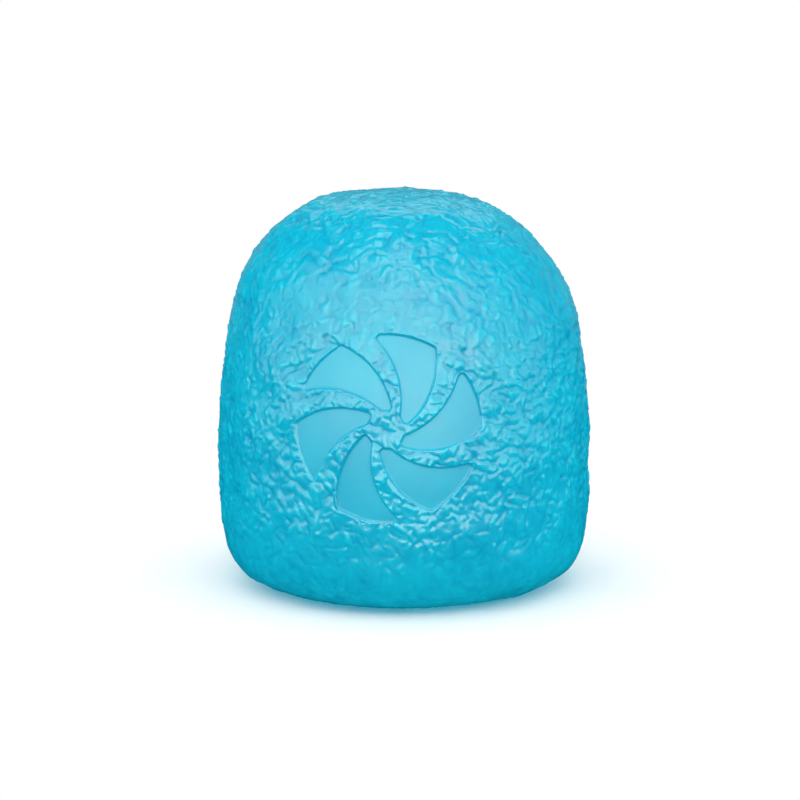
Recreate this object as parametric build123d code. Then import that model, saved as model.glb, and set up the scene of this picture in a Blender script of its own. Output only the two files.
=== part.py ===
from build123d import *

import os
from math import cos, radians, sin

# Gel-filled squeeze toy shaped like a gumdrop: moulded skin, gel filling, fill plug and its glue.

# Outer shape, mm and degrees. The half profile is four tangent arcs from the crown to the base.
# Each angle is how far the outward normal has turned away from +Z where that arc ends.
body_diameter = 70.0
crown_end = 14.7
shoulder_radius = 29.5
shoulder_end = 79.9
side_radius = 149.4
side_end = 95.3
corner_radius = 10.4
base_angle = 180.0

# Skin and the thicker pad around its fill port
wall = 2.5
pad_radius = 9.0
pad_rise = 2.0
port_radius = 3.0
counterbore_radius = 6.0
counterbore_depth = 1.5

# Fill plug and the glue that holds it
plug_head_radius = 5.6
plug_head_setback = 0.3
plug_head_round = 0.3
plug_barb_radius = 4.2
plug_tip_radius = 2.6
plug_barb_length = 3.0
glue_film = 0.15

# Sunk pinwheel sweet on the front: curved petals around a small centre
emblem_height = 35.0
emblem_radius = 17.0
emblem_depth = 0.6
petal_count = 6
petal_inner_radius = 3.2
petal_angle = 42.0
petal_twist = 55.0
petal_bow = 7.0
petal_phase = 25.0
petal_round = 0.9


def toward(angle):
    """Unit vector in the X-Z plane, turned by an angle from +Z towards +X."""
    return Vector(sin(radians(angle)), 0, cos(radians(angle)))


def body_arcs(inset):
    """Centre, radius, start and end angle of each arc, shrunk by an even inset."""
    reach = body_diameter / 2 - side_radius + (side_radius - shoulder_radius) * sin(radians(shoulder_end))
    crown_radius = shoulder_radius + reach / sin(radians(crown_end))
    radii = [crown_radius, shoulder_radius, side_radius, corner_radius]
    ends = [0.0, crown_end, shoulder_end, side_end, base_angle]
    centres = [Vector(0, 0, 0)]
    for i in range(1, len(radii)):
        centres.append(centres[-1] + toward(ends[i]) * (radii[i - 1] - radii[i]))
    lift = Vector(0, 0, corner_radius - centres[-1].Z)
    return [
        (centre + lift, radius - inset, ends[i], ends[i + 1])
        for i, (centre, radius) in enumerate(zip(centres, radii))
    ]


def body(inset):
    """Solid of revolution inside the outer shape, even inset all round."""
    edges = []
    for centre, radius, start, end in body_arcs(inset):
        angles = (start, (start + end) / 2, end)
        edges.append(ThreePointArc(*[centre + toward(angle) * radius for angle in angles]))
    top = edges[0] @ 0
    base_edge = edges[-1] @ 1
    base_centre = Vector(0, 0, base_edge.Z)
    edges.append(Line(base_edge, base_centre))
    edges.append(Line(base_centre, top))
    return revolve(make_face(edges), Axis.Z)


def cylinder(radius, low, high):
    """Upright cylinder on the centre line between two heights."""
    return Pos(0, 0, low) * Cylinder(radius, high - low, align=(Align.CENTER, Align.CENTER, Align.MIN))


def petal():
    """One pinwheel petal in the X-Y plane, its sides bowed and its corners rounded."""

    def at(radius, angle):
        return Vector(radius * cos(radians(angle)), radius * sin(radians(angle)))

    half = petal_angle / 2
    middle_radius = (petal_inner_radius + emblem_radius) / 2
    middle_twist = petal_twist / 2 + petal_bow
    low = ThreePointArc(
        at(petal_inner_radius, -half),
        at(middle_radius, middle_twist - half),
        at(emblem_radius, petal_twist - half),
    )
    high = ThreePointArc(
        at(emblem_radius, petal_twist + half),
        at(middle_radius, middle_twist + half),
        at(petal_inner_radius, half),
    )
    outer = ThreePointArc(low @ 1, at(emblem_radius, petal_twist), high @ 0)
    inner = ThreePointArc(high @ 1, at(petal_inner_radius, 0), low @ 0)
    face = make_face([low, outer, high, inner])
    return fillet(face.vertices(), petal_round)


outer_body = body(0)
pad_top = wall + pad_rise
pad = cylinder(pad_radius, 0, pad_top)
cavity = body(wall) - pad

# Petals are cut straight back from the front, to an even depth below the curved surface
front = Plane(origin=(0, 0, emblem_height), x_dir=(1, 0, 0), z_dir=(0, -1, 0))
turns = [petal_phase + i * 360 / petal_count for i in range(petal_count)]
petals = Sketch() + [Rot(0, 0, turn) * petal() for turn in turns]
petal_prisms = extrude(front * petals, amount=body_diameter)
emblem = (outer_body - body(emblem_depth)) & petal_prisms

port = cylinder(port_radius, 0, pad_top)
counterbore = cylinder(counterbore_radius, 0, counterbore_depth)
skin = outer_body - cavity - emblem - port - counterbore

# Plug: head in the counterbore, stem filling the port, barb gripping the pad from inside
head_top = counterbore_depth - glue_film
head = cylinder(plug_head_radius, plug_head_setback, head_top)
head = fillet(head.edges().group_by(Axis.Z)[0], plug_head_round)
stem = cylinder(port_radius, head_top, pad_top)
barb = Pos(0, 0, pad_top) * Cone(
    plug_barb_radius, plug_tip_radius, plug_barb_length, align=(Align.CENTER, Align.CENTER, Align.MIN)
)
plug = head + stem + barb

# Glue fills the gap around and behind the head; gel fills the cavity around the barb
glue = cylinder(counterbore_radius, plug_head_setback, counterbore_depth) - plug - port
gel = cavity - barb

os.makedirs("parts", exist_ok=True)
for node, solid in [("skin", skin), ("gel_filling", gel), ("fill_plug", plug), ("plug_adhesive", glue)]:
    export_step(solid, f"parts/{node}.step")
    print(node, len(solid.solids()), "solid", solid.bounding_box(), "volume", round(solid.volume, 1))
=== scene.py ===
"""Looks of the gel-filled gumdrop squeeze toy: a grained one-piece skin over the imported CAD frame."""

from math import cos, hypot, pi, radians, sin

import bpy
import numpy as np
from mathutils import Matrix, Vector


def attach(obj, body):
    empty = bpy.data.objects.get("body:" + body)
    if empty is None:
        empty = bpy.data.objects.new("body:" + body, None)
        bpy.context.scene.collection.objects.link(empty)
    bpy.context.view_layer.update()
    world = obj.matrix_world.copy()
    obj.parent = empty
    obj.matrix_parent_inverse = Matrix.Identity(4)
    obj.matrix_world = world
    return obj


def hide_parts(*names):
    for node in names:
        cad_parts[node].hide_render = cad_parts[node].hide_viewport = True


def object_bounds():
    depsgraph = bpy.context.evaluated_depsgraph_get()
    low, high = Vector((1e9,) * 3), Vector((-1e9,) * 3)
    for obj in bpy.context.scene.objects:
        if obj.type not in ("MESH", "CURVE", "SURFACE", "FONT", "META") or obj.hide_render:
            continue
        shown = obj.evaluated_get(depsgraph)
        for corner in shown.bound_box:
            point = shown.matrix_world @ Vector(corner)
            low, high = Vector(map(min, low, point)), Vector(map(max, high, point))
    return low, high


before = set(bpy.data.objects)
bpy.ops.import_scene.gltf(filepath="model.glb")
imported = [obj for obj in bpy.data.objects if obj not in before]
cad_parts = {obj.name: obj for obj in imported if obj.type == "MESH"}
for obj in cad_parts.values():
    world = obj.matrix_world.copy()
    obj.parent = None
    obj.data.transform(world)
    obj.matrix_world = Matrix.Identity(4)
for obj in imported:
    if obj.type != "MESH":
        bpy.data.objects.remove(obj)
cad_low, cad_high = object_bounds()

MM = 0.001

# The skin's half profile in millimetres and degrees: the CAD's four tangent arcs, from crown to foot
HALF_WIDTH = (cad_high.x - cad_low.x) / 2 / MM
CROWN_END = 14.7
SHOULDER_RADIUS = 29.5
SHOULDER_END = 79.9
SIDE_RADIUS = 149.4
SIDE_END = 95.3
CORNER_RADIUS = 10.4
WALL = 2.5
PAD_RADIUS = 9.0
PAD_TOP = 4.5
PORT_RADIUS = 3.0
COUNTERBORE_RADIUS = 6.0
COUNTERBORE_DEPTH = 1.5
MOUTH_ROUND = 0.35

# The sunk pinwheel on the front
EMBLEM_HEIGHT = 35.0
EMBLEM_RADIUS = 17.0
EMBLEM_DEPTH = 0.6
PETAL_COUNT = 6
PETAL_INNER_RADIUS = 3.2
PETAL_ANGLE = 42.0
PETAL_TWIST = 55.0
PETAL_BOW = 7.0
PETAL_PHASE = 25.0
PETAL_ROUND = 0.9
# Width of its sloping walls, how far past its radius it is looked for, and the least share of an inset kept
EMBLEM_WALL = 0.34
EMBLEM_MARGIN = 3.0
INSET_SHARE = 0.97

# Mesh spacing in millimetres, and how near a petal's wall the faces are halved
FINE = 0.30
COARSE = 1.6
REFINE_REACH = 0.75
# A distance that counts as none, and one that counts as nowhere near the emblem
TINY = 1e-6
FAR = 10.0

# Grain in millimetres. Each kind has the size of its features and how far it moves the surface.
# Puffy pebbles with creases between them
PEBBLE_SIZE = 2.1
PEBBLE_STEP = 0.17
PEBBLE_EDGE = 0.16
PEBBLE_MEAN = 0.65
# Tilted facets, split by narrow creases
FACET_SIZE = 1.9
FACET_STEP = 0.05
FACET_TILT = 0.34
CREASE_WIDTH = 0.42
CREASE_DEPTH = 0.05
# Crumbs in patches
CRUMB_SIZE = 1.1
CRUMB_STEP = 0.05
CRUMB_EDGE = 0.2
CRUMB_MEAN = 0.6
CRUMB_PATCH = 4.2
CRUMB_PATCH_EDGE = (-0.3, 0.4)
# Slow lumps, each with smaller ones, under the rest
LUMP_SIZE = 7.5
LUMP_STEP = 0.34
LUMP_RATIO = 2.3
# Wide bends and small curls that bring the pebbles and facets out of their regular grids
BEND_SIZE = 3.1
BEND_STEP = 0.9
CURL_SIZE = 1.1
CURL_STEP = 0.25
# The grain softens between these heights, to this share at the foot
CALM_LOW = 5.7
CALM_HIGH = 19.0
CALM_SHARE = 0.32
# Where the skin faces down (its unit normal's height passes between these) it loses this share of its
# relief and moves in. Within these distances of the port's mouth it fades back to the CAD's surface.
FOOT_FACING = (-0.75, -0.97)
FOOT_SHARE = 0.6
FOOT_RISE = 0.22
MOUTH_CLEARANCE = (0.8, 2.0)
# The most that anything stands out, and the grain height at which the painted crease shade and painted
# pebble-top light reach full strength
HEIGHT_LIMIT = 0.6
SHADE_RELIEF_HEIGHT = 0.3
# The soft dome leans to one side: how far its shoulders stand out and in, over these heights
LEAN = 1.3
LEAN_LOW = 48.0
LEAN_HIGH = 70.0
# The dome's shoulder is a little fuller than the CAD's: by how much, and the radii where this starts,
# is full, begins to drop and ends
SWELL = 0.75
SWELL_RADII = (5.0, 18.0, 21.0, 33.0)

# Range that Blender's noise mostly keeps to
NOISE_SPREAD = (0.3, 0.7)
# Colours, each from dark to light (for the skin: painted shade in the creases to painted light on the
# pebble tops), and how far red, green and blue scatter in the rubber
SKIN_SHADE_COLOURS = ((0.001, 0.31, 0.53), (0.004, 0.57, 0.73))
GEL_COLOURS = ((0.08, 0.50, 0.66), (0.20, 0.68, 0.78))
PLUG_COLOURS = ((0.02, 0.44, 0.62), (0.06, 0.55, 0.72))
GLUE_COLOURS = ((0.42, 0.70, 0.76), (0.66, 0.80, 0.83))
SKIN_SCATTER = (0.3, 0.9, 1.0)

# Texture map: a square sheet and the charts' centres on it, or for a strip the middle of its first edge.
# The front strip takes the side's turns from this share of a turn either side of the back.
CHART_SHEET = 180.0
DOME_CHART = (47.0, 47.0)
FOOT_CHART = (137.0, 43.0)
FRONT_STRIP = (76.0, 96.0)
BACK_STRIP = (39.0, 138.5)
INSIDE_CHART = (128.0, 158.0)
INSIDE_SCALE = 0.15
FRONT_STRIP_START = 1 / 6

# Floor: its colour, and the radii in metres between which it fades out
FLOOR_COLOUR = (0.96, 0.96, 0.96)
FLOOR_FADE = (0.036, 0.11)

# Camera: degrees, metres and, for the lens and sensor, millimetres; it aims just off the toy's middle
CAMERA_AZIMUTH = 5.5
CAMERA_ELEVATION = 10
CAMERA_DISTANCE = 0.525
CAMERA_LENS = 125
CAMERA_SENSOR = 36
AIM_RIGHT = -0.00077
AIM_UP = -0.00275

# Lighting. The fill boxes light matt surfaces only; the tent round the front is what the gloss reflects.
WORLD_FILL = 0.15
# name, azimuth and elevation in degrees (azimuth 0 is in front), distance, width and height, radiance
FILL_BOXES = [
    ("fill_top", 0, 80, 0.80, 1.30, 1.30, 1.28),
    ("fill_front", 0, 16, 0.80, 0.92, 0.90, 1.22),
    ("fill_front_left", -60, 4, 0.80, 0.92, 1.25, 1.12),
    ("fill_front_right", 60, 4, 0.80, 0.92, 1.25, 1.12),
    ("fill_back_left", -120, 4, 0.80, 0.92, 1.25, 1.50),
    ("fill_back_right", 120, 4, 0.80, 0.92, 1.25, 1.50),
    ("fill_back", 180, 4, 0.80, 0.92, 1.25, 0.95),
    ("fill_below", 0, -90, 0.80, 1.40, 1.40, 0.80),
]
TENT_PANELS = [
    ("tent_top", 0, 72, 0.65, 0.48, 0.24, 2.4),
    ("tent_back", 180, 45, 0.70, 0.70, 0.20, 1.3),
    ("tent_rear", 180, 12, 0.70, 1.30, 0.45, 0.18),
]
# The tent's wall is a grid of panels: azimuth and radiance of each upright strip,
# and elevation, width, height and share of the radiance of each row
TENT_DISTANCE = 0.65
TENT_STRIPS = [
    (-82, 0.70),
    (-55, 1.55),
    (-27, 2.35),
    (0, 3.00),
    (27, 2.65),
    (55, 1.70),
    (82, 0.70),
    (105, 0.25),
]
TENT_ROWS = [(2.5, 0.31, 0.15, 1.60), (30, 0.27, 0.50, 0.88)]
TENT_COLOUR = (1.0, 0.98, 0.80)


# ---------------------------------------------------------------- noise


class Noise:
    """Smooth seeded noise from about -1 to 1, one value per channel, repeated after PERIOD features."""

    PERIOD = 32

    def __init__(self, size, seed, channels=1):
        self.size = size
        shape = (self.PERIOD, self.PERIOD, self.PERIOD, channels)
        self.table = np.random.default_rng(seed).uniform(-1, 1, shape)

    def __call__(self, points):
        p = points / self.size
        low = np.floor(p).astype(int)
        t = p - low
        t = t**3 * (t * (6 * t - 15) + 10)
        total = 0
        for corner in np.ndindex(2, 2, 2):
            i = (low + corner) % self.PERIOD
            weight = np.prod(np.where(corner, t, 1 - t), axis=1)
            total = total + weight[:, None] * self.table[i[:, 0], i[:, 1], i[:, 2]]
        return total


class Cells:
    """Irregular cells round seeded points, some of which outgrow their neighbours.

    Each cell has random facts from 0 to 1: its point's place (0 to 2), its growth (3) and four more.
    """

    PERIOD = 64
    FACTS = 8
    GROWTH = 0.35

    def __init__(self, size, seed):
        self.size = size
        shape = (self.PERIOD, self.PERIOD, self.PERIOD, self.FACTS)
        self.table = np.random.default_rng(seed).random(shape)

    def site(self, index):
        x, y, z = (index % self.PERIOD).T
        facts = self.table[x, y, z]
        return (index + facts[:, :3]) * self.size, facts

    def __call__(self, points):
        """Distance to the cell's border, offset from its point, and its facts, for each point."""
        home = np.floor(points / self.size).astype(int)
        steps = [np.array(step) - 1 for step in np.ndindex(3, 3, 3)]
        growth = self.GROWTH * self.size**2
        best = np.full(len(points), np.inf)
        site = np.zeros_like(points)
        facts = np.zeros((len(points), self.FACTS))
        for step in steps:
            place, found = self.site(home + step)
            reach = ((points - place) ** 2).sum(1) - growth * found[:, 3]
            nearer = reach < best
            best = np.where(nearer, reach, best)
            site[nearer] = place[nearer]
            facts[nearer] = found[nearer]
        border = np.full(len(points), np.inf)
        for step in steps:
            place, found = self.site(home + step)
            apart = np.sqrt(((place - site) ** 2).sum(1))
            reach = ((points - place) ** 2).sum(1) - growth * found[:, 3]
            gap = (reach - best) / (2 * np.maximum(apart, TINY))
            border = np.where(apart > TINY, np.minimum(border, gap), border)
        return border, points - site, facts


def smoothstep(low, high, x):
    t = np.clip((x - low) / (high - low), 0, 1)
    return t * t * (3 - 2 * t)


# ---------------------------------------------------------------- profile


def toward(angle):
    """Unit vector in the half plane (radius, height), turned from straight up by an angle in radians."""
    return np.array([sin(angle), cos(angle)])


def body_arcs(inset):
    """Centre, radius, start and end angle of each arc, shrunk by an even inset."""
    ends = [0.0, *np.radians([CROWN_END, SHOULDER_END, SIDE_END]), pi]
    reach = HALF_WIDTH - SIDE_RADIUS + (SIDE_RADIUS - SHOULDER_RADIUS) * sin(ends[2])
    radii = [SHOULDER_RADIUS + reach / sin(ends[1]), SHOULDER_RADIUS, SIDE_RADIUS, CORNER_RADIUS]
    centres = [np.zeros(2)]
    for i in range(1, 4):
        centres.append(centres[-1] + toward(ends[i]) * (radii[i - 1] - radii[i]))
    lift = np.array([0, CORNER_RADIUS - centres[-1][1]])
    return [(centres[i] + lift, radii[i] - inset, ends[i], ends[i + 1]) for i in range(4)]


def arc_points(centre, radius, start, end, spacing):
    """Points along an arc without its last, with the normals that point away from its centre."""
    count = max(2, round(abs(radius * (end - start)) / spacing))
    angles = np.linspace(start, end, count, endpoint=False)
    normals = np.stack([np.sin(angles), np.cos(angles)], 1)
    return centre + radius * normals, normals


def line_points(start, end, spacing):
    """Points along a line without its last, with the normals on its left."""
    start, end = np.array(start, float), np.array(end, float)
    length = np.linalg.norm(end - start)
    count = max(1, round(length / spacing))
    t = np.linspace(0, 1, count, endpoint=False)[:, None]
    direction = (end - start) / length
    normal = np.array([-direction[1], direction[0]])
    return start + t * (end - start), np.repeat(normal[None], count, 0)


def skin_profile():
    """Half profile of the whole shell: outer crown, side, foot, port and inner crown."""
    outer, inner = body_arcs(0), body_arcs(WALL)
    foot_edge = outer[-1][0][0]
    floor_edge = inner[-1][0][0]
    mouth = COUNTERBORE_RADIUS + MOUTH_ROUND
    stretches = [arc_points(*arc, FINE) for arc in outer]
    stretches.append(line_points((foot_edge, 0), (mouth, 0), FINE))
    stretches.append(arc_points((mouth, MOUTH_ROUND), MOUTH_ROUND, pi, 3 * pi / 2, MOUTH_ROUND / 2))
    corners = [
        (COUNTERBORE_RADIUS, MOUTH_ROUND),
        (COUNTERBORE_RADIUS, COUNTERBORE_DEPTH),
        (PORT_RADIUS, COUNTERBORE_DEPTH),
        (PORT_RADIUS, PAD_TOP),
        (PAD_RADIUS, PAD_TOP),
        (PAD_RADIUS, WALL),
        (floor_edge, WALL),
    ]
    for start, end in zip(corners, corners[1:]):
        stretches.append(line_points(start, end, COARSE))
    for centre, radius, start, end in reversed(inner):
        points, normals = arc_points(centre, radius, end, start, COARSE)
        stretches.append((points, -normals))
    crown = inner[0][0] + np.array([0, inner[0][1]])
    stretches.append((crown[None], np.array([[0.0, -1.0]])))
    points = np.concatenate([stretch[0] for stretch in stretches])
    normals = np.concatenate([stretch[1] for stretch in stretches])
    dome_count = sum(len(stretch[0]) for stretch in stretches[:2])
    side_count = sum(len(stretch[0]) for stretch in stretches[:3])
    outer_count = sum(len(stretch[0]) for stretch in stretches[:5])
    return points, normals, (dome_count, side_count, outer_count)


# ---------------------------------------------------------------- emblem


def petal_outline():
    """Closed outline of one petal in the emblem's plane, with sharp corners, and its middle line."""

    def at(radius, angle):
        return np.array([radius * cos(radians(angle)), radius * sin(radians(angle))])

    def through(a, b, c, count=60):
        """Points on the circle through three points, from a towards c without c."""
        m = 2 * np.array([b - a, c - a])
        centre = np.linalg.solve(m, [b @ b - a @ a, c @ c - a @ a])
        angles = np.unwrap([np.arctan2(*(p - centre)[::-1]) for p in (a, b, c)])
        turn = np.linspace(angles[0], angles[2], count, endpoint=False)
        return centre + hypot(*(a - centre)) * np.stack([np.cos(turn), np.sin(turn)], 1)

    half = PETAL_ANGLE / 2
    middle_radius = (PETAL_INNER_RADIUS + EMBLEM_RADIUS) / 2
    middle_twist = PETAL_TWIST / 2 + PETAL_BOW

    def side(offset):
        return [
            at(PETAL_INNER_RADIUS, offset),
            at(middle_radius, middle_twist + offset),
            at(EMBLEM_RADIUS, PETAL_TWIST + offset),
        ]

    low, high = side(-half), side(half)
    outline = np.concatenate([
        through(*low),
        through(low[2], at(EMBLEM_RADIUS, PETAL_TWIST), high[2]),
        through(*reversed(high)),
        through(high[0], at(PETAL_INNER_RADIUS, 0), low[0]),
    ])
    return outline, through(*side(0))


def signed_distance(points, outline):
    """Distance from points to a closed outline, negative inside."""
    starts, ends = outline, np.roll(outline, -1, 0)
    nearest = np.full(len(points), np.inf)
    inside = np.zeros(len(points), bool)
    for a, b in zip(starts, ends):
        along, across = b - a, points - a
        t = np.clip(across @ along / (along @ along), 0, 1)
        nearest = np.minimum(nearest, np.hypot(*(across - t[:, None] * along).T))
        crosses = (a[1] > points[:, 1]) != (b[1] > points[:, 1])
        rise = along[1] if along[1] else 1.0
        inside ^= crosses & (across[:, 0] < along[0] * across[:, 1] / rise)
    return np.where(inside, -nearest, nearest)


def shrunk(outline, distance):
    """The outline moved inward, without the points that come nearer than that to another side."""
    tangent = np.roll(outline, -1, 0) - np.roll(outline, 1, 0)
    normal = np.stack([tangent[:, 1], -tangent[:, 0]], 1) / np.hypot(*tangent.T)[:, None]
    moved = outline - distance * normal
    return moved[signed_distance(moved, outline) < -INSET_SHARE * distance]


def emblem_distance(points):
    """Distance to the nearest petal's edge, seen from the front: negative in a petal, FAR at the back."""
    flat = np.stack([points[:, 0], points[:, 2] - EMBLEM_HEIGHT], 1)
    reach = np.hypot(*flat.T)
    near = (points[:, 1] < 0) & (reach < EMBLEM_RADIUS + EMBLEM_MARGIN)
    distance = np.full(len(points), FAR)
    outline, middle = petal_outline()
    core = shrunk(outline, PETAL_ROUND)
    middle_reach = np.hypot(*middle.T)
    middle_angle = np.unwrap(np.arctan2(middle[:, 1], middle[:, 0]))
    angle = np.arctan2(flat[near, 1], flat[near, 0]) - radians(PETAL_PHASE)
    pitch = 2 * pi / PETAL_COUNT
    own = np.interp(reach[near], middle_reach, middle_angle)
    angle -= pitch * np.round((angle - own) / pitch)
    folded = reach[near][:, None] * np.stack([np.cos(angle), np.sin(angle)], 1)
    distance[near] = signed_distance(folded, core) - PETAL_ROUND
    return distance


# ---------------------------------------------------------------- skin mesh


def ring_shell(points, spacing):
    """Rings of vertices (profile index, turn from the back) and the triangles between them."""
    count = [
        1 if radius < TINY else max(8, round(2 * pi * radius / step))
        for (radius, _), step in zip(points, spacing)
    ]
    first = np.cumsum([0, *count])
    index = np.repeat(np.arange(len(points), dtype=float), count)
    turn = np.concatenate([(np.arange(n) + 0.5 * (i % 2)) / n for i, n in enumerate(count)])
    faces = []
    for i in range(len(points) - 1):
        n, m = count[i], count[i + 1]
        a = np.arange(n)
        b = np.arange(m)
        half_a = (a + 0.5 * (i % 2) + 0.5) / n
        half_b = (b + 0.5 * ((i + 1) % 2) + 0.5) / m
        if n > 1:
            k = np.searchsorted(half_b, half_a, side="left") % m
            faces.append(np.stack([first[i] + a, first[i + 1] + k, first[i] + (a + 1) % n], 1))
        if m > 1:
            k = np.searchsorted(half_a, half_b, side="right") % n
            faces.append(np.stack([first[i] + k, first[i + 1] + b, first[i + 1] + (b + 1) % m], 1))
    return index, turn, np.concatenate(faces)


def refine(values, faces, wanted):
    """Halves every edge of the wanted faces and splits their neighbours to fit.

    A row of values is a vertex: its profile index and its turn, which wraps round at 1.
    """
    edges = np.sort(np.concatenate([faces[:, [0, 1]], faces[:, [1, 2]], faces[:, [2, 0]]]), 1)
    unique, which = np.unique(edges, axis=0, return_inverse=True)
    which = which.reshape(3, -1).T
    split = np.zeros(len(unique), bool)
    split[which[wanted].ravel()] = True
    new_number = np.full(len(unique), -1)
    new_number[split] = len(values) + np.arange(split.sum())
    a, b = values[unique[split, 0]], values[unique[split, 1]]
    gap = b[:, 1] - a[:, 1]
    middle = (a + b) / 2
    middle[:, 1] += np.where(np.abs(gap) > 0.5, 0.5, 0)
    values = np.concatenate([values, middle])
    mids = new_number[which]
    marks = (mids >= 0).sum(1)
    made = [faces[marks == 0]]
    full = marks == 3
    f, m = faces[full], mids[full]
    made += [np.stack(t, 1) for t in (
        (f[:, 0], m[:, 0], m[:, 2]),
        (m[:, 0], f[:, 1], m[:, 1]),
        (m[:, 2], m[:, 1], f[:, 2]),
        (m[:, 0], m[:, 1], m[:, 2]),
    )]
    for k in range(3):
        turned = np.roll(faces, -k, 1), np.roll(mids, -k, 1)
        one = (marks == 1) & (turned[1][:, 0] >= 0)
        f, m = turned[0][one], turned[1][one]
        made += [np.stack(t, 1) for t in ((f[:, 0], m[:, 0], f[:, 2]), (m[:, 0], f[:, 1], f[:, 2]))]
        two = (marks == 2) & (turned[1][:, 2] < 0)
        f, m = turned[0][two], turned[1][two]
        made += [np.stack(t, 1) for t in (
            (f[:, 0], m[:, 0], f[:, 2]),
            (m[:, 0], m[:, 1], f[:, 2]),
            (m[:, 0], f[:, 1], m[:, 1]),
        )]
    return values, np.concatenate(made)


def billow(noise, points, edge):
    """Puffy lumps, from 0 in the creases between them to about 1 on their flattened tops."""
    return 1 - np.exp(-np.abs(noise(points)[:, 0]) / edge)


def lay_charts(mesh, profile, values, faces, counts):
    """Texture map: round charts of the dome, foot and inside, and strips of the side's front and back.

    counts are the profile points up to the end of the dome, of the side and of the whole outside.
    """
    steps = np.hypot(*np.diff(profile, axis=0).T)
    travel = np.concatenate([[0], np.cumsum(steps)])
    rings = np.arange(len(profile))
    dome_count, side_count, outer_count = counts
    ring = values[faces][..., 0].mean(1)
    down = np.interp(values[:, 0], rings, travel)[faces]
    turn = values[faces][..., 1]
    apart = turn - turn[:, :1]
    apart -= np.round(apart)
    mean = turn[:, 0] + apart.mean(1)
    angle = 2 * pi * turn
    compass = np.stack([np.cos(angle), np.sin(angle)], -1)
    place = np.zeros((*faces.shape, 2))

    def round_chart(chosen, reach, centre):
        place[chosen] = centre + reach[chosen][..., None] * compass[chosen]

    def strip_chart(chosen, middle, corner):
        offset = mean[chosen] - middle
        offset -= np.round(offset)
        across = offset[:, None] + (apart - apart.mean(1)[:, None])[chosen]
        upright = down[chosen] - travel[dome_count]
        place[chosen] = np.stack([corner[0] + 2 * pi * HALF_WIDTH * across, corner[1] + upright], -1)

    side = (ring >= dome_count) & (ring < side_count)
    front = np.abs(mean - np.round(mean)) > FRONT_STRIP_START
    foot_reach = COUNTERBORE_RADIUS + travel[outer_count] - down
    round_chart(ring < dome_count, down, DOME_CHART)
    round_chart((ring >= side_count) & (ring < outer_count), foot_reach, FOOT_CHART)
    round_chart(ring >= outer_count, INSIDE_SCALE * (travel[-1] - down), INSIDE_CHART)
    strip_chart(side & front, 0.5, FRONT_STRIP)
    strip_chart(side & ~front, 0.0, BACK_STRIP)
    layer = mesh.uv_layers.new(name="OFBake")
    layer.data.foreach_set("uv", (place / CHART_SHEET).astype(np.float32).ravel())


def grain_height(points):
    """Heights in millimetres of the lumps and of the finer grain, each about zero on average."""
    bends = BEND_STEP * Noise(BEND_SIZE, seed=11, channels=3)(points)
    curls = CURL_STEP * Noise(CURL_SIZE, seed=12, channels=3)(points)
    warped = points + bends + curls

    large, small = Noise(LUMP_SIZE, seed=13), Noise(LUMP_SIZE / LUMP_RATIO, seed=14)
    lumps = LUMP_STEP * (large(points) + 0.5 * small(points))[:, 0]

    pebbles = PEBBLE_STEP * (billow(Noise(PEBBLE_SIZE, seed=19), warped, PEBBLE_EDGE) - PEBBLE_MEAN)

    border, offset, facts = Cells(FACET_SIZE, seed=15)(warped)
    step = FACET_STEP * (2 * facts[:, 7] - 1)
    tilt = FACET_TILT * (offset * (facts[:, 4:7] - 0.5)).sum(1)
    rise = smoothstep(0, CREASE_WIDTH, border)
    facets = rise * (step + tilt) - CREASE_DEPTH * (1 - rise)

    patches = smoothstep(*CRUMB_PATCH_EDGE, Noise(CRUMB_PATCH, seed=18)(points)[:, 0])
    half_warped = (points + warped) / 2
    crumbs = CRUMB_STEP * (billow(Noise(CRUMB_SIZE, seed=17), half_warped, CRUMB_EDGE) - CRUMB_MEAN)
    return lumps, pebbles + facets + crumbs * patches


def on_body(profile, normals, values):
    """Point and outward normal on the smooth body of each vertex, given by profile index and turn."""
    rings = np.arange(len(profile))
    columns = (*profile.T, *normals.T)
    reach, height, out, up = [np.interp(values[:, 0], rings, column) for column in columns]
    angle = 2 * pi * values[:, 1] + pi / 2
    radial = np.stack([np.cos(angle), np.sin(angle)], 1)
    point = np.column_stack([reach[:, None] * radial, height])
    normal = np.column_stack([out[:, None] * radial, up])
    return point, normal / np.linalg.norm(normal, axis=1)[:, None]


def surface_height(point, normal, lumps, grain, outside):
    """How far the skin stands out from the smooth body, before the emblem, in millimetres."""
    foot = smoothstep(*FOOT_FACING, normal[:, 2]) * outside
    clear = [COUNTERBORE_RADIUS + clearance for clearance in MOUTH_CLEARANCE]
    reach = np.hypot(*point[:, :2].T)
    mouth = smoothstep(*clear, reach)
    calm = CALM_SHARE + (1 - CALM_SHARE) * smoothstep(CALM_LOW, CALM_HIGH, point[:, 2])
    flat = 1 - FOOT_SHARE * foot
    height = lumps * flat + grain * np.minimum(calm, flat)
    height = np.minimum(height - FOOT_RISE * foot, HEIGHT_LIMIT * (1 - foot))
    height -= LEAN * point[:, 0] / HALF_WIDTH * smoothstep(LEAN_LOW, LEAN_HIGH, point[:, 2])
    start, full, drop, end = SWELL_RADII
    on_dome = point[:, 2] > LEAN_LOW
    height += SWELL * smoothstep(start, full, reach) * smoothstep(end, drop, reach) * on_dome
    return height * np.where(foot > 0, mouth, 1) * outside


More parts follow.
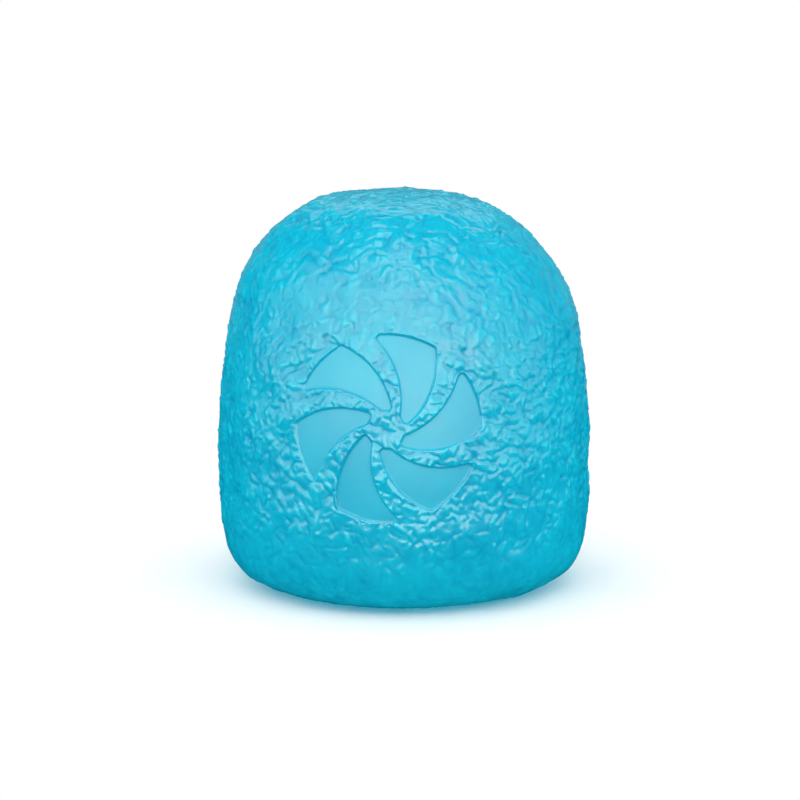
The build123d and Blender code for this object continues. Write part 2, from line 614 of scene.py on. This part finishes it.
def build_skin():
    profile, normals, chart_counts = skin_profile()
    outer_count = chart_counts[-1]
    is_outer = np.arange(len(profile)) < outer_count
    by_port = profile[:, 0] < PAD_RADIUS + 0.1
    spacing = np.where(is_outer, FINE, np.where(by_port, COARSE / 2, COARSE))
    index, turn, faces = ring_shell(profile, spacing)
    values = np.stack([index, turn], 1)

    # Smaller faces along the petals' walls
    distance = emblem_distance(on_body(profile, normals, values)[0])
    from_wall = np.abs(distance[faces].mean(1) + EMBLEM_WALL / 2)
    values, faces = refine(values, faces, from_wall < REFINE_REACH)
    point, normal = on_body(profile, normals, values)
    outside = values[:, 0] < outer_count - 0.5

    lumps, grain = np.zeros((2, len(values)))
    lumps[outside], grain[outside] = grain_height(point[outside])
    height = surface_height(point, normal, lumps, grain, outside)
    distance = np.where(outside, emblem_distance(point), FAR)
    sunk = smoothstep(0, -EMBLEM_WALL, distance)
    height = height * (1 - sunk) - EMBLEM_DEPTH * sunk
    final = (point + height[:, None] * normal) * MM

    mesh = bpy.data.meshes.new("skin_shell")
    mesh.from_pydata(final.tolist(), [], faces.tolist())
    mesh.shade_smooth()
    # Painted shade and light: the grain's height, kept for the skin's colour, darkens the creases and
    # lightens the pebble tops
    relief_shade = np.clip(grain * (1 - sunk) / SHADE_RELIEF_HEIGHT, -1, 1)
    for name, value in (("relief_shade", relief_shade), ("smooth_floor", sunk)):
        mesh.attributes.new(name, "FLOAT", "POINT").data.foreach_set("value", value.astype(np.float32))
    lay_charts(mesh, profile, values, faces, chart_counts)
    piece = bpy.data.objects.new("skin_shell", mesh)
    bpy.context.scene.collection.objects.link(piece)
    return piece


# ---------------------------------------------------------------- materials


def set_inputs(node, values):
    """Sets sockets by their names."""
    for name, value in values.items():
        node.inputs[name].default_value = value


def new_material(name):
    material = bpy.data.materials.new(name)
    material.use_nodes = True
    nodes = material.node_tree.nodes
    return material, nodes, material.node_tree.links, nodes["Principled BSDF"]


def map_range(nodes, links, value, source, target):
    """A socket's value, mapped from one (low, high) range to another."""
    node = nodes.new("ShaderNodeMapRange")
    set_inputs(node, {"From Min": source[0], "From Max": source[1]})
    set_inputs(node, {"To Min": target[0], "To Max": target[1]})
    links.new(value, node.inputs["Value"])
    return node.outputs["Result"]


def noise_range(nodes, links, size, detail, low, high):
    """Noise through the row's frame, with features of a size in millimetres, mapped to a range."""
    place = nodes.new("ShaderNodeTexCoord")
    noise = nodes.new("ShaderNodeTexNoise")
    set_inputs(noise, {"Scale": 1 / (size * MM), "Detail": detail})
    links.new(place.outputs["Object"], noise.inputs["Vector"])
    return map_range(nodes, links, noise.outputs["Fac"], NOISE_SPREAD, (low, high))


def tinted(nodes, links, factor, colours):
    """Colour between a dark and a light one, by a factor from 0 to 1."""
    ramp = nodes.new("ShaderNodeValToRGB")
    for element, colour in zip(ramp.color_ramp.elements, colours):
        element.color = (*colour, 1)
    links.new(factor, ramp.inputs["Fac"])
    return ramp.outputs["Color"]


def add_bump(nodes, links, shader, height, depth, strength=None):
    """Fine bump, with its depth in millimetres and an optional strength socket."""
    bump = nodes.new("ShaderNodeBump")
    bump.inputs["Distance"].default_value = depth * MM
    links.new(height, bump.inputs["Height"])
    if strength:
        links.new(strength, bump.inputs["Strength"])
    links.new(bump.outputs["Normal"], shader.inputs["Normal"])


def skin_material():
    """Translucent cyan TPR with painted shade in the creases and painted light on the pebble tops, satin on
    the emblem's floors.
    """
    material, nodes, links, shader = new_material("translucent_skin")
    set_inputs(shader, {
        "IOR": 1.5,
        "Specular IOR Level": 0.8,
        "Subsurface Weight": 0.4,
        "Subsurface Radius": SKIN_SCATTER,
        "Subsurface Scale": 1.0 * MM,
    })

    def attribute(name):
        node = nodes.new("ShaderNodeAttribute")
        node.attribute_name = name
        return node.outputs["Fac"]

    def combined(operation, first, second):
        node = nodes.new("ShaderNodeMath")
        node.operation = operation
        for socket, value in zip(node.inputs, (first, second)):
            if isinstance(value, float):
                socket.default_value = value
            else:
                links.new(value, socket)
        return node.outputs["Value"]

    # Painted shade in the creases and painted light on the pebble tops, from the grain's height, plus a
    # random cloudy tone
    relief_shade = map_range(nodes, links, attribute("relief_shade"), (-1, 1), (0.1, 0.9))
    cloud = noise_range(nodes, links, size=11.0, detail=2.0, low=-0.12, high=0.12)
    colour = tinted(nodes, links, combined("ADD", relief_shade, cloud), SKIN_SHADE_COLOURS)
    links.new(colour, shader.inputs["Base Color"])

    worn = noise_range(nodes, links, size=3.0, detail=3.0, low=0.18, high=0.27)
    floor = combined("MULTIPLY", attribute("smooth_floor"), 0.10)
    links.new(combined("ADD", worn, floor), shader.inputs["Roughness"])

    rough_share = combined("SUBTRACT", 1.0, attribute("smooth_floor"))
    strength = combined("MULTIPLY", rough_share, 0.5)
    grit = noise_range(nodes, links, size=0.7, detail=2.0, low=0.0, high=1.0)
    add_bump(nodes, links, shader, grit, depth=0.025, strength=strength)
    return material


def gel_material():
    """Clear cyan gel with cloudy swirls."""
    material, nodes, links, shader = new_material("cyan_gel")
    set_inputs(shader, {
        "IOR": 1.42,
        "Subsurface Weight": 0.8,
        "Subsurface Radius": (0.5, 1.5, 2.0),
        "Subsurface Scale": 3 * MM,
    })
    swirl = noise_range(nodes, links, size=6.0, detail=4.0, low=0.0, high=1.0)
    links.new(tinted(nodes, links, swirl, GEL_COLOURS), shader.inputs["Base Color"])
    wet = noise_range(nodes, links, size=2.0, detail=2.0, low=0.05, high=0.14)
    links.new(wet, shader.inputs["Roughness"])
    ripple = noise_range(nodes, links, size=2.5, detail=3.0, low=0.0, high=1.0)
    add_bump(nodes, links, shader, ripple, depth=0.1)
    return material


def plug_material():
    """Satin moulded TPR, a little paler than the skin, with a fine moulding grain."""
    material, nodes, links, shader = new_material("plug_rubber")
    set_inputs(shader, {
        "Subsurface Weight": 0.3,
        "Subsurface Radius": SKIN_SCATTER,
        "Subsurface Scale": 1 * MM,
    })
    cloud = noise_range(nodes, links, size=2.5, detail=3.0, low=0.0, high=1.0)
    links.new(tinted(nodes, links, cloud, PLUG_COLOURS), shader.inputs["Base Color"])
    satin = noise_range(nodes, links, size=0.8, detail=2.0, low=0.34, high=0.48)
    links.new(satin, shader.inputs["Roughness"])
    grit = noise_range(nodes, links, size=0.25, detail=2.0, low=0.0, high=1.0)
    add_bump(nodes, links, shader, grit, depth=0.03)
    return material


def glue_material():
    """Cured clear glue over the rubber: pale, glossy and slightly uneven."""
    material, nodes, links, shader = new_material("clear_glue")
    set_inputs(shader, {"IOR": 1.48, "Coat Weight": 0.5, "Coat Roughness": 0.06})
    cloud = noise_range(nodes, links, size=1.2, detail=3.0, low=0.0, high=1.0)
    links.new(tinted(nodes, links, cloud, GLUE_COLOURS), shader.inputs["Base Color"])
    uneven = noise_range(nodes, links, size=1.0, detail=2.0, low=0.08, high=0.22)
    links.new(uneven, shader.inputs["Roughness"])
    ripple = noise_range(nodes, links, size=0.8, detail=3.0, low=0.0, high=1.0)
    add_bump(nodes, links, shader, ripple, depth=0.06)
    return material


def refinish(node, material):
    """Gives a CAD node its finished material."""
    for material_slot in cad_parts[node].material_slots:
        material_slot.material = material


# ---------------------------------------------------------------- stage


def floor_material():
    """White paper that fades out round the toy, so that no horizon shows."""
    material, nodes, links, shader = new_material("floor_paper")
    set_inputs(shader, {"Base Color": (*FLOOR_COLOUR, 1), "Roughness": 0.9})
    place = nodes.new("ShaderNodeTexCoord")
    far = nodes.new("ShaderNodeVectorMath")
    far.operation = "LENGTH"
    links.new(place.outputs["Object"], far.inputs[0])
    fade = nodes.new("ShaderNodeMapRange")
    fade.interpolation_type = "SMOOTHSTEP"
    set_inputs(fade, {"From Min": FLOOR_FADE[0], "From Max": FLOOR_FADE[1]})
    links.new(far.outputs["Value"], fade.inputs["Value"])
    clear = nodes.new("ShaderNodeBsdfTransparent")
    mix = nodes.new("ShaderNodeMixShader")
    links.new(fade.outputs["Result"], mix.inputs["Fac"])
    links.new(shader.outputs["BSDF"], mix.inputs[1])
    links.new(clear.outputs["BSDF"], mix.inputs[2])
    links.new(mix.outputs["Shader"], nodes["Material Output"].inputs["Surface"])
    return material


def build_stage():
    """Paper floor, and a white surround that lights the toy only faintly: the light boxes do the rest."""
    bpy.ops.mesh.primitive_plane_add(size=1)
    floor = bpy.context.object
    floor.name = "floor"
    floor.data.materials.append(floor_material())
    floor.visible_diffuse = False
    floor.visible_glossy = False
    floor.visible_shadow = False
    world = bpy.data.worlds.new("studio")
    bpy.context.scene.world = world
    world.use_nodes = True
    world.cycles_visibility.glossy = False
    nodes, links = world.node_tree.nodes, world.node_tree.links
    background = nodes["Background"]
    background.inputs["Color"].default_value = (1, 1, 1, 1)
    path = nodes.new("ShaderNodeLightPath")
    strength = map_range(nodes, links, path.outputs["Is Camera Ray"], (0, 1), (WORLD_FILL, 1))
    links.new(strength, background.inputs["Strength"])


def soft_box(name, azimuth, elevation, distance, width, height, radiance):
    """Rectangular light facing the toy's middle."""
    middle = Vector((0, 0, (cad_low.z + cad_high.z) / 2))
    a, e = radians(azimuth), radians(elevation)
    back = Vector((sin(a) * cos(e), -cos(a) * cos(e), sin(e)))
    data = bpy.data.lights.new(name, "AREA")
    data.shape = "RECTANGLE"
    data.size = width
    data.size_y = height
    data.energy = radiance * pi * width * height
    light = bpy.data.objects.new(name, data)
    light.location = middle + back * distance
    light.rotation_mode = "QUATERNION"
    light.rotation_quaternion = back.to_track_quat("Z", "Y")
    light.visible_camera = False
    bpy.context.scene.collection.objects.link(light)
    return light


def build_lights():
    """Fill boxes that gloss doesn't reflect, and a tent of panels that only gloss reflects."""
    for box in FILL_BOXES:
        light = soft_box(*box)
        light.visible_glossy = False
        light.data.cycles.use_multiple_importance_sampling = False
    wall = [
        (f"tent_{azimuth}_{elevation}", azimuth, elevation, TENT_DISTANCE, width, height, radiance * share)
        for azimuth, radiance in TENT_STRIPS
        for elevation, width, height, share in TENT_ROWS
    ]
    for panel in TENT_PANELS + wall:
        light = soft_box(*panel)
        light.visible_diffuse = False
        light.data.color = TENT_COLOUR


def build_camera():
    azimuth, elevation = radians(CAMERA_AZIMUTH), radians(CAMERA_ELEVATION)
    back = Vector((sin(azimuth) * cos(elevation), -cos(azimuth) * cos(elevation), sin(elevation)))
    right = Vector((cos(azimuth), sin(azimuth), 0))
    middle = Vector((0, 0, (cad_low.z + cad_high.z) / 2))
    target = middle + AIM_RIGHT * right + AIM_UP * back.cross(right)
    data = bpy.data.cameras.new("camera")
    data.sensor_width = CAMERA_SENSOR
    data.lens = CAMERA_LENS
    camera = bpy.data.objects.new("camera", data)
    camera.location = target + back * CAMERA_DISTANCE
    camera.rotation_mode = "QUATERNION"
    camera.rotation_quaternion = back.to_track_quat("Z", "Y")
    bpy.context.scene.collection.objects.link(camera)
    bpy.context.scene.camera = camera


skin = build_skin()
skin.data.materials.append(skin_material())
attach(skin, "root")
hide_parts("skin")
refinish("gel_filling", gel_material())
refinish("fill_plug", plug_material())
refinish("plug_adhesive", glue_material())

build_stage()
build_lights()
build_camera()
bpy.context.scene.view_settings.view_transform = "Standard"
